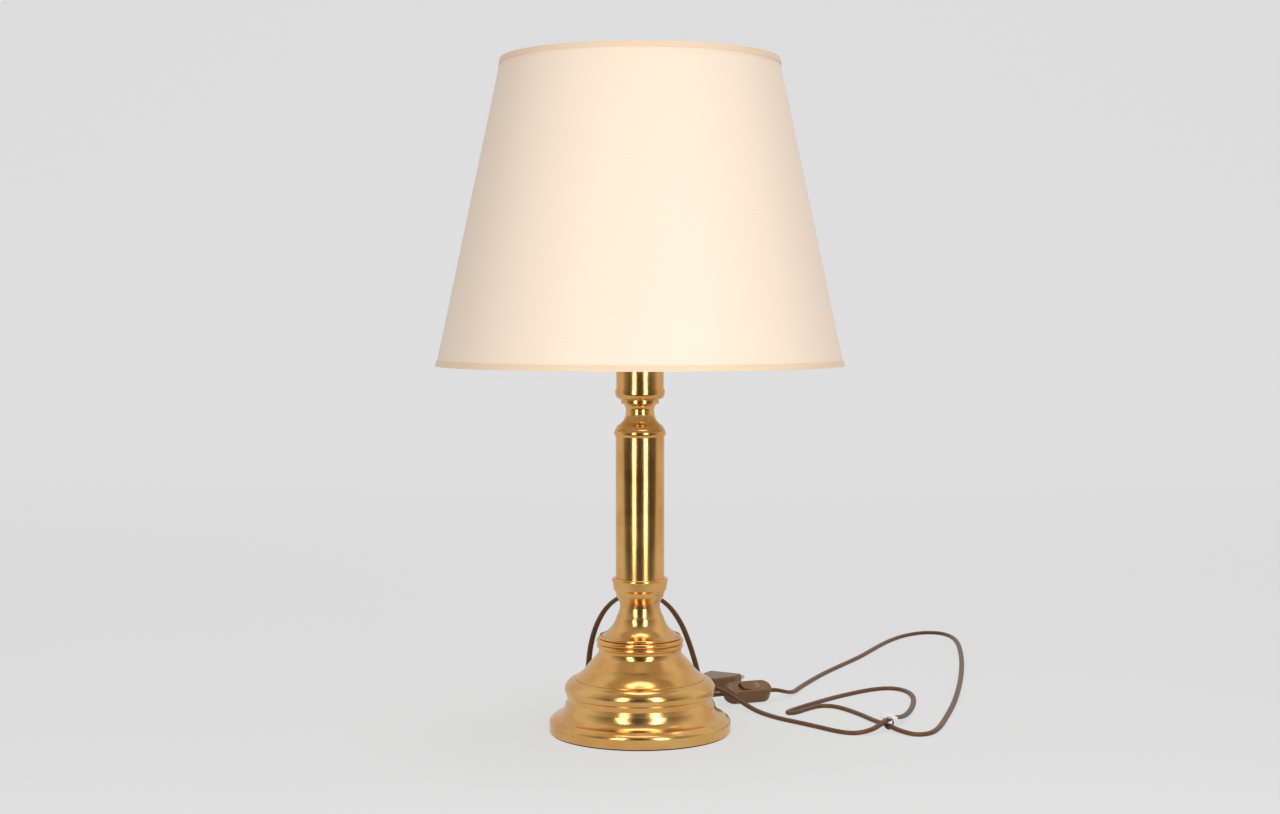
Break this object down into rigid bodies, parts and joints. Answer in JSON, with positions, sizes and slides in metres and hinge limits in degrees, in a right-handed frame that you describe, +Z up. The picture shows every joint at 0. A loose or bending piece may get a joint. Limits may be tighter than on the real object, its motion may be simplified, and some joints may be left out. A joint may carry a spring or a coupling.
{
  "type": "candlestick table lamp",
  "caption": "Turned brass candlestick table lamp with a cream cone shade, brown twin flex, inline rocker switch and flat plug.",
  "frame": {"origin": "centre of the foot on the surface that the lamp stands on", "axes": "+Z up along the column, -Y to the front, the flex leaves at +Y and its switch and loops lie to +X"},
  "size_m": [0.5268, 0.6777, 0.5795],
  "materials": {
    "polished_brass": "polished, lightly tarnished",
    "plated_steel": "bright nickel plating",
    "cast_iron": "rough black casting",
    "felt": "dark wool felt",
    "brown_plastic": "gold-brown moulded plastic",
    "flex_sheath": "translucent brown sheath over twisted copper",
    "tie_wrap": "white wire tie",
    "white_insulator": "off-white moulded",
    "shade_fabric": "smooth laminated cream cloth",
    "shade_trim": "narrow self-coloured binding",
    "white_wire": "white coated wire",
    "opal_glass": "opal white"
  },
  "bodies": {
    "stand": {"base_felt": "felt", "base_foot": "polished_brass", "base_bell": "polished_brass", "collar_cup": "polished_brass", "column_tube": "polished_brass", "column_capital": "polished_brass", "threaded_rod": "plated_steel", "base_weight": "cast_iron", "base_washer": "plated_steel", "base_nut": "plated_steel", "rod_top_nut": "plated_steel", "cord_bush": "brown_plastic", "inner_lead": "flex_sheath", "lampholder_sleeve": "polished_brass", "lampholder_insert": "white_insulator", "lampholder_shell": "plated_steel", "lampholder_contact": "polished_brass", "shade_lower_ring": "white_insulator", "cord_lamp_to_switch": "flex_sheath", "cord_switch_to_plug": "flex_sheath", "cord_tie": "tie_wrap", "switch_upper_shell": "brown_plastic", "switch_lower_shell": "brown_plastic", "switch_axle": "plated_steel", "switch_terminal_input": "polished_brass", "switch_terminal_output": "polished_brass", "plug_body": "brown_plastic", "plug_pins": "plated_steel", "plug_pin_sleeves": "brown_plastic", "plug_strain_relief": "brown_plastic"},
    "shade": {"shade_shell": "shade_fabric", "shade_trim_bottom": "shade_trim", "shade_trim_top": "shade_trim", "shade_ring_top": "white_wire", "shade_frame": "white_wire"},
    "clamp_ring": {"shade_clamp_ring": "white_insulator"},
    "bulb": {"bulb_contact": "plated_steel", "bulb_cap": "plated_steel", "bulb_glass": "opal_glass"},
    "rocker": {"switch_rocker": "brown_plastic"}
  },
  "joints": [
    {"name": "shade_turn", "type": "hinge", "parent": "stand", "child": "shade", "pos_m": [0, 0, 0.335], "axis": [0, 0, 1], "continuous": true},
    {"name": "clamp_ring_turn", "type": "hinge", "parent": "stand", "child": "clamp_ring", "pos_m": [0, 0, 0.338], "axis": [0, 0, 1], "range_deg": [0, 1080]},
    {"name": "bulb_turn", "type": "hinge", "parent": "stand", "child": "bulb", "pos_m": [0, 0, 0.33], "axis": [0, 0, 1], "range_deg": [0, 1080]},
    {"name": "rocker_tilt", "type": "hinge", "parent": "stand", "child": "rocker", "pos_m": [0.10097, 0.12059, 0.01237], "axis": [-0.3244, 0.803, 0.5], "range_deg": [-14, 0]}
  ]
}
